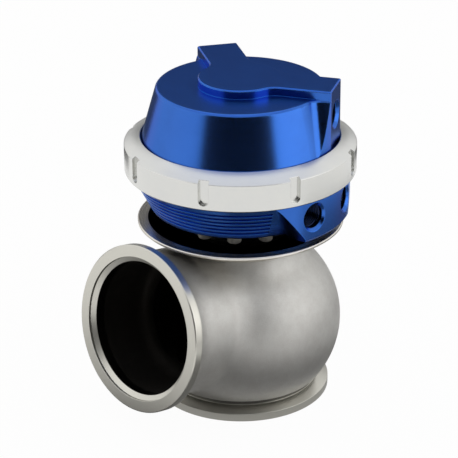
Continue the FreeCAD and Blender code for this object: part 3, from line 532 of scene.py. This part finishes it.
def lofted(name, rings):
    """Skin a list of point rings, with a face over each end."""
    mesh = bmesh.new()
    loops = [[mesh.verts.new(point) for point in ring] for ring in rings]
    for lower, upper in zip(loops, loops[1:]):
        for index, corner in enumerate(lower):
            following = (index + 1) % len(lower)
            mesh.faces.new((corner, lower[following], upper[following], upper[index]))
    mesh.faces.new(reversed(loops[0]))
    mesh.faces.new(loops[-1])
    bmesh.ops.recalc_face_normals(mesh, faces=mesh.faces)
    data = bpy.data.meshes.new(name)
    mesh.to_mesh(data)
    mesh.free()
    return bpy.data.objects.new(name, data)


def socket_screw(name, head, head_height, shank, length, up):
    """A screw whose head's seat is at height 0, with the head above it or below it."""
    levels = [("round", shank * 0.8, -length), ("round", shank, -length + shank * 0.3),
              ("round", shank, 0.0), ("round", head * 0.96, 0.0),
              ("knurl", head, head_height * 0.06), ("knurl", head, head_height * 0.8),
              ("round", head * 0.95, head_height * 0.9), ("round", head * 0.88, head_height),
              ("round", head * 0.64, head_height), ("hexagon", head * 0.55, head_height * 0.95),
              ("hexagon", head * 0.55, head_height * 0.45), ("hexagon", head * 0.2, head_height * 0.4)]
    rings = [ring_points(radius, height * up, shape) for shape, radius, height in levels]
    return lofted(name, rings)

# %% [markdown]
# The six mounting screws hold the actuator on the casting through the stack. Their heads are
# inside the diaphragm chamber. The twelve small ones close the base plate from below, and a few of
# their heads shine in the gap over the dish.

# %% Both rings of screws
def screw_ring(node, count, radius, first_angle, head, head_height, shank, up):
    """A ring of knurled screws in place of a CAD node, with their heads up or down."""
    low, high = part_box(node)
    seat = (high.z - head_height) if up > 0 else (low.z + head_height)
    length = (seat - low.z) if up > 0 else (high.z - seat)
    master = socket_screw(node + "_master", head, head_height, shank, length, up)
    tree = ring_tree(node + "_ring", master, finishes["screw_steel"])
    piece = grown("knurled_" + node, tree, {"Count": count, "Ring radius": radius,
                                            "First angle": first_angle, "Height": seat})
    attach(piece, "housing")
    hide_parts(node)


screw_ring("mounting_screws", count=6, radius=14.2 * MM, first_angle=0.0,
           head=4.25 * MM, head_height=5.0 * MM, shank=2.5 * MM, up=1)
screw_ring("base_plate_screws", count=12, radius=23.3 * MM, first_angle=math.radians(10),
           head=2.75 * MM, head_height=3.0 * MM, shank=1.5 * MM, up=-1)

# %% [markdown]
# ## Springs and a diaphragm
# When the valve lifts by 12 mm the piston pushes the three nested springs up against the cap's
# roof. Each spring is a wire wound from its two end coils, which lie flat on their neighbours, to
# open coils between them. The middle spring winds the other way, so that the coils can't catch in
# each other.

# %% Springs
WIRE_SIDES = 12
COIL_STEPS = 40


def coil_points(radius, wire, low, high, turns, hand):
    """The wire's centre line: a closed turn, open turns, a closed turn."""
    closed = 2 * wire
    open_rise = (high - low - 2 * wire - 2 * closed) / (turns - 2)
    points = []
    for step in range(int(turns * COIL_STEPS) + 1):
        turn = step / COIL_STEPS
        last = max(0.0, turn - (turns - 1))
        height = closed * (min(turn, 1.0) + last) + open_rise * (min(max(turn - 1, 0.0), turns - 2))
        angle = math.tau * turn * hand
        points.append(Vector((radius * math.cos(angle), radius * math.sin(angle), low + wire + height)))
    return points


def wound_wire(name, points, wire):
    """A round wire along a line of points round the Z axis."""
    rings = []
    for index, point in enumerate(points):
        ahead = (points[min(index + 1, len(points) - 1)] - points[max(index - 1, 0)]).normalized()
        out = Vector((point.x, point.y, 0)).normalized()
        over = ahead.cross(out).normalized()
        out = over.cross(ahead)
        angles = [math.tau * side / WIRE_SIDES for side in range(WIRE_SIDES)]
        rings.append([point + wire * (math.cos(angle) * out + math.sin(angle) * over) for angle in angles])
    return lofted(name, rings)


def spring(node, wire, turns, hand):
    """A wound spring in place of a CAD node, as wide and as long as the node."""
    low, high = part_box(node)
    radius = high.x - wire
    piece = wound_wire("wound_" + node, coil_points(radius, wire, low.z, high.z, turns, hand), wire)
    bpy.context.scene.collection.objects.link(piece)
    piece.data.materials.append(finishes["spring_steel"])
    piece.data.shade_smooth()
    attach(piece, "housing")
    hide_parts(node)
    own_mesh(piece)
    print(piece.name, "has", len(piece.data.polygons), "faces and", turns, "turns")


spring("outer_spring", wire=1.6 * MM, turns=4.5, hand=1)
spring("middle_spring", wire=1.4 * MM, turns=5.5, hand=-1)
spring("inner_spring", wire=1.2 * MM, turns=6.5, hand=1)

# %% [markdown]
# The diaphragm's bead is held between the two housings and its middle is clamped to the piston.
# The web between them rolls as the valve lifts. Here it keeps the CAD part's shape, as a copy with
# its loose triangles joined.

# %% Diaphragm
def merged_copy(name, node):
    """A copy of a CAD part with its loose triangles joined."""
    mesh = bmesh.new()
    mesh.from_mesh(nodes[node].data)
    bmesh.ops.remove_doubles(mesh, verts=mesh.verts, dist=0.001 * MM)
    data = bpy.data.meshes.new(name)
    mesh.to_mesh(data)
    mesh.free()
    piece = bpy.data.objects.new(name, data)
    bpy.context.scene.collection.objects.link(piece)
    return piece


rubber = merged_copy("rolling_diaphragm", "diaphragm")
rubber.data.materials.clear()
rubber.data.materials.append(finishes["diaphragm_rubber"])
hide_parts("diaphragm")
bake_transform(rubber)

# %% [markdown]
# ## Threads in the ports
# Each port takes a pipe fitting, so its wall is tapped. A thread is one ridge that winds along the
# bore: a spiral curve, with a small six-sided section run along it. A 1/8 inch pipe thread has 27
# turns to the inch, which is 0.94 mm for each. The record's mounts say where each port is and where
# it points, and the thread stops short of both ends, clear of the mouth's chamfer.

# %% Thread tree
def thread_tree(material):
    """A tree that winds a ridge along a bore."""
    tree = bpy.data.node_groups.new("port_thread", "GeometryNodeTree")
    tree.interface.new_socket("Geometry", in_out="OUTPUT", socket_type="NodeSocketGeometry")
    for label in ("Bore radius", "Pitch", "Length", "Ridge"):
        tree.interface.new_socket(label, in_out="INPUT", socket_type="NodeSocketFloat")
    given = add_node(tree, "NodeGroupInput").outputs
    turns = add_node(tree, "ShaderNodeMath", {0: given["Length"], 1: given["Pitch"]},
                     operation="DIVIDE").outputs[0]
    spiral = add_node(tree, "GeometryNodeCurveSpiral", {"Resolution": 48, "Rotations": turns,
                                                        "Start Radius": given["Bore radius"],
                                                        "End Radius": given["Bore radius"],
                                                        "Height": given["Length"]}).outputs[0]
    section = add_node(tree, "GeometryNodeCurvePrimitiveCircle", {"Resolution": 6,
                                                                  "Radius": given["Ridge"]}).outputs[0]
    ridge = add_node(tree, "GeometryNodeCurveToMesh", {"Curve": spiral, "Profile Curve": section,
                                                       "Fill Caps": True}).outputs[0]
    real = add_node(tree, "GeometryNodeRealizeInstances", {0: ridge}).outputs[0]
    coat = add_node(tree, "GeometryNodeSetMaterial", {"Geometry": real, "Material": material}).outputs[0]
    add_node(tree, "NodeGroupOutput", {0: coat})
    return tree


THREAD_PITCH = 0.94 * MM
THREAD_RIDGE = 0.34 * MM
THREADED_SHARE = 0.7
OFF_THE_WALL = 0.02 * MM
threads = thread_tree(blue_anodised)
for port in PORTS:
    mount = mounts[port]
    length = mount["dims"]["length_mm"] * MM * THREADED_SHARE
    radius = mount["dims"]["r_mm"] * MM - OFF_THE_WALL
    ridge = grown(port + "_thread", threads, {"Bore radius": radius, "Pitch": THREAD_PITCH,
                                              "Length": length, "Ridge": THREAD_RIDGE})
    axis = Vector(mount["axis"])
    start = Vector(mount["pos_m"]) - axis * (length / 2)
    ridge.data.transform(Matrix.Translation(start) @ axis.to_track_quat("Z", "X").to_matrix().to_4x4())
    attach(ridge, "housing")

# %% [markdown]
# ## Floor
# Polished metal shows whatever stands round it, so the stage counts as much as the finishes. The
# floor is a wide pale disc that runs into a white background. A painted floor would come out grey
# under soft light. So this one glows wherever it is seen or mirrored, and a little paint left under
# the glow takes the part's faint shadow.

# %% Floor
GLOW_SHARE = 0.96


def seen_or_mirrored(tree):
    """1 for what the camera or a reflection sees, and 0 for light on its way to a surface."""
    ray = add_node(tree, "ShaderNodeLightPath").outputs
    mirrored = either(tree, ray["Is Glossy Ray"], ray["Is Transmission Ray"])
    return either(tree, ray["Is Camera Ray"], mirrored)


def pale_floor():
    """White glow over pale paint where it is seen, and paint alone where it sends light on."""
    material = bpy.data.materials.new("pale_floor")
    material.use_nodes = True
    tree = material.node_tree
    tree.nodes.clear()
    sight = seen_or_mirrored(tree)
    paint = add_node(tree, "ShaderNodeBsdfDiffuse", {"Color": colour("F7F6F5")}).outputs[0]
    glow = add_node(tree, "ShaderNodeEmission", {"Color": (1, 1, 1, 1), "Strength": 1.0}).outputs[0]
    share = spread(tree, sight, 0.0, GLOW_SHARE, 0.0, 1.0)
    mix = add_node(tree, "ShaderNodeMixShader", {0: share, 1: paint, 2: glow})
    add_node(tree, "ShaderNodeOutputMaterial", {0: mix.outputs[0]})
    return material


def stage_piece(name, data, material, card=False):
    """Put a floor or a card in the scene. Cards show only in reflections."""
    piece = bpy.data.objects.new(name, data)
    bpy.context.scene.collection.objects.link(piece)
    data.materials.append(material)
    if card:
        piece.visible_camera = False
        piece.visible_diffuse = False
        piece.visible_shadow = False
    print("stage:", name)


def disc(name, radius, height, centre=(0.0, 0.0)):
    """A flat round mesh at a height."""
    mesh = bmesh.new()
    bmesh.ops.create_circle(mesh, cap_ends=True, segments=96, radius=radius)
    bmesh.ops.translate(mesh, verts=mesh.verts, vec=(*centre, height))
    data = bpy.data.meshes.new(name)
    mesh.to_mesh(data)
    mesh.free()
    return data


stage_piece("floor", disc("floor", radius=6.0, height=cad_low.z), pale_floor())

# %% [markdown]
# ## Cards
# A real studio is dark in places, and bright metal draws its form from them. Cards out of the
# camera's sight stand for those places. Which face shows which card follows from the mirror's rule:
# a face turned by some angle from the camera shows what stands at twice that angle. So flat tops
# show the wall behind the part, upright faces show the floor, and slopes between them show the
# ceiling. Angles are counted from the camera's side.

# %% Cards
CAMERA_TURN = -44.05
CARD_STEPS = 24
CARD_LIFT = 0.5 * MM


def card_material(name, strength, tint=(1.0, 1.0, 1.0, 1.0)):
    """A card's even glow, weak for a dark card."""
    material = bpy.data.materials.new(name)
    material.use_nodes = True
    tree = material.node_tree
    tree.nodes.clear()
    glow = add_node(tree, "ShaderNodeEmission", {"Color": tint, "Strength": strength}).outputs[0]
    add_node(tree, "ShaderNodeOutputMaterial", {0: glow})
    return material


def curved_card(name, first, last, edges, strength):
    """A curved card between two angles, in degrees. Each of its two edges is given as its distance
    from the part and its height."""
    mesh = bmesh.new()
    rows = []
    for step in range(CARD_STEPS + 1):
        angle = math.radians(CAMERA_TURN + first + (last - first) * step / CARD_STEPS)
        rows.append([mesh.verts.new((distance * math.cos(angle), distance * math.sin(angle), height))
                     for distance, height in edges])
    for row, following in zip(rows, rows[1:]):
        mesh.faces.new((row[0], following[0], following[1], row[1]))
    data = bpy.data.meshes.new(name)
    mesh.to_mesh(data)
    mesh.free()
    stage_piece(name, data, card_material(name, strength), card=True)


def wall_card(name, first, last, low, high, distance, strength):
    """A card that stands round the object."""
    curved_card(name, first, last, ((distance, low), (distance, high)), strength)


def floor_card(name, first, last, near, far, strength):
    """A card that lies on the floor."""
    curved_card(name, first, last, ((near, CARD_LIFT), (far, CARD_LIFT)), strength)


# The floor's glow has no shade in it, so two round patches under the part stand for its shade.
under_part = disc("shade_card", radius=0.1, height=cad_low.z + 0.2 * MM, centre=(0.0, -0.022))
stage_piece("shade_card", under_part, card_material("shade_card", strength=0.15), card=True)
at_foot = disc("foot_card", radius=0.042, height=cad_low.z + 0.4 * MM)
stage_piece("foot_card", at_foot, card_material("foot_card", strength=0.4), card=True)
# The black wall behind the camera gives the cap its dark middle band.
wall_card("front_card", first=-46, last=41, low=-0.3, high=1.3, distance=1.6, strength=0.003)
# Flat tops show the dim wall behind the part, and their far edges the grey one under it.
wall_card("back_card", first=157, last=203, low=0.2, high=0.78, distance=0.9, strength=0.11)
wall_card("back_low_card", first=134, last=226, low=0.0, high=0.2, distance=0.9, strength=0.5)
# The arm's end, the boss with the ports and the outlet's face each show a patch of floor, which a dim card
# there turns into painted shade, because the floor's glow has none.
floor_card("far_floor_card", first=134, last=226, near=0.25, far=0.95, strength=0.12)
floor_card("right_floor_card", first=60, last=142, near=0.1, far=0.234, strength=0.2)
floor_card("left_floor_card", first=220, last=300, near=0.1, far=0.19, strength=0.5)
# Slopes such as the cap's cone show a ceiling that is a little blue.
ceiling = card_material("ceiling_card", strength=0.85, tint=(0.95, 0.99, 1.12, 1.0))
stage_piece("ceiling_card", disc("ceiling_card", radius=1.0, height=1.4), ceiling, card=True)

# %% [markdown]
# ## Light
# The white world gives soft light from all round, and three broad lamps give it a direction. Their
# power is low, because a colour should render about as it is written. The world is a little dimmer
# as a source of light than as a background, for the same reason. The lamp overhead is slightly blue.

# %% World and lamps
LIT_LEVEL = 0.75
SEEN_LEVEL = 1.0
world = bpy.data.worlds.new("studio")
bpy.context.scene.world = world
world.use_nodes = True
sky = world.node_tree
sky.nodes.clear()
level = spread(sky, seen_or_mirrored(sky), LIT_LEVEL, SEEN_LEVEL, 0.0, 1.0)
background = add_node(sky, "ShaderNodeBackground", {"Color": (1, 1, 1, 1), "Strength": level}).outputs[0]
add_node(sky, "ShaderNodeOutputWorld", {0: background})


MIDDLE_HEIGHT = 60 * MM


def softbox(name, turn, rise, distance, size, power, tint=(1.0, 1.0, 1.0)):
    """A broad lamp that faces the part, turned from the camera's side and raised by two angles in
    degrees."""
    lamp = bpy.data.lights.new(name, "AREA")
    lamp.shape = "RECTANGLE"
    lamp.size, lamp.size_y = size
    lamp.energy = power
    lamp.color = tint
    holder = bpy.data.objects.new(name, lamp)
    angle = math.radians(CAMERA_TURN + turn)
    target = Vector((0, 0, MIDDLE_HEIGHT))
    flat = Vector((math.cos(angle), math.sin(angle), 0)) * math.cos(math.radians(rise))
    holder.location = target + (flat + Vector((0, 0, math.sin(math.radians(rise))))) * distance
    holder.rotation_mode = "QUATERNION"
    holder.rotation_quaternion = (holder.location - target).to_track_quat("Z", "Y")
    bpy.context.scene.collection.objects.link(holder)
    print(name, "gives", power, "watts")


softbox("left_softbox", turn=-74, rise=22, distance=1.2, size=(0.9, 0.8), power=0.3)
softbox("right_softbox", turn=66, rise=20, distance=1.2, size=(1.1, 0.8), power=2.0)
softbox("overhead_softbox", turn=180, rise=66, distance=1.25, size=(1.0, 0.9), power=0.5,
        tint=(0.88, 0.94, 1.0))

# %% [markdown]
# ## Camera
# The camera stands where the photographer's stood: about three quarters of a metre out on the
# outlet's side, looking down 24 degrees through a long lens. A long lens keeps the ellipses of the
# flanges nearly true.

# %% Camera
def photo_camera():
    """The camera as solved from the rims and edges of the part itself."""
    turn, lean, swing, tilt = 0.802, 0.427, -0.006, -0.006
    distance, height = 0.7650, 0.4151
    focal_pixels, picture = 2137.7, 458
    around = Matrix.Rotation(turn, 3, "Z")
    ahead = Vector((math.sin(swing) * math.cos(lean), math.cos(swing) * math.cos(lean), -math.sin(lean)))
    right = Vector((math.cos(swing), -math.sin(swing), 0))
    up = right.cross(ahead)
    level_right = math.cos(tilt) * right + math.sin(tilt) * up
    level_up = math.cos(tilt) * up - math.sin(tilt) * right
    axes = [around @ axis for axis in (level_right, level_up, -ahead)]
    data = bpy.data.cameras.new("photo_camera")
    data.sensor_width = 36
    data.lens = focal_pixels / picture * data.sensor_width
    data.clip_start, data.clip_end = 0.05, 50
    camera = bpy.data.objects.new("photo_camera", data)
    place = Matrix(axes).transposed().to_4x4()
    place.translation = around @ Vector((0, -distance, height))
    camera.matrix_world = place
    bpy.context.scene.collection.objects.link(camera)
    bpy.context.scene.camera = camera
    print("lens in mm:", round(data.lens, 1))


photo_camera()
bpy.context.scene.view_settings.view_transform = "Standard"
